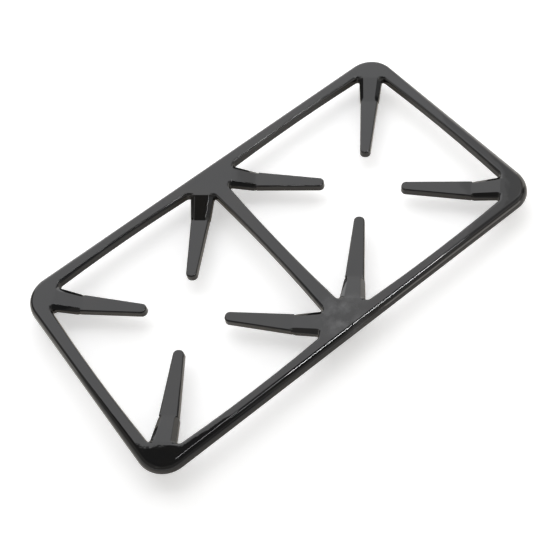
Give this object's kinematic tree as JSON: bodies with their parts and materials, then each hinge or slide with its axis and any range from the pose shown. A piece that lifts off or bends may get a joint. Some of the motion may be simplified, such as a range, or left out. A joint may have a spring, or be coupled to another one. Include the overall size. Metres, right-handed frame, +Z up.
{
  "type": "hob pan support",
  "caption": "Rectangular cast-iron pan support in glossy black enamel: a drafted frame with a crossbar, and stepped fingers that reach diagonally over each burner.",
  "frame": {"origin": "centre of the plan at the bottom of the feet", "axes": "+X along the long rails towards the longer cell, +Y across the frame towards the far long rail of the picture, +Z up"},
  "size_m": [0.474, 0.256, 0.028],
  "materials": {
    "enamelled_iron": "gloss"
  },
  "bodies": {
    "root": {"pan_support": "enamelled_iron"}
  },
  "joints": []
}
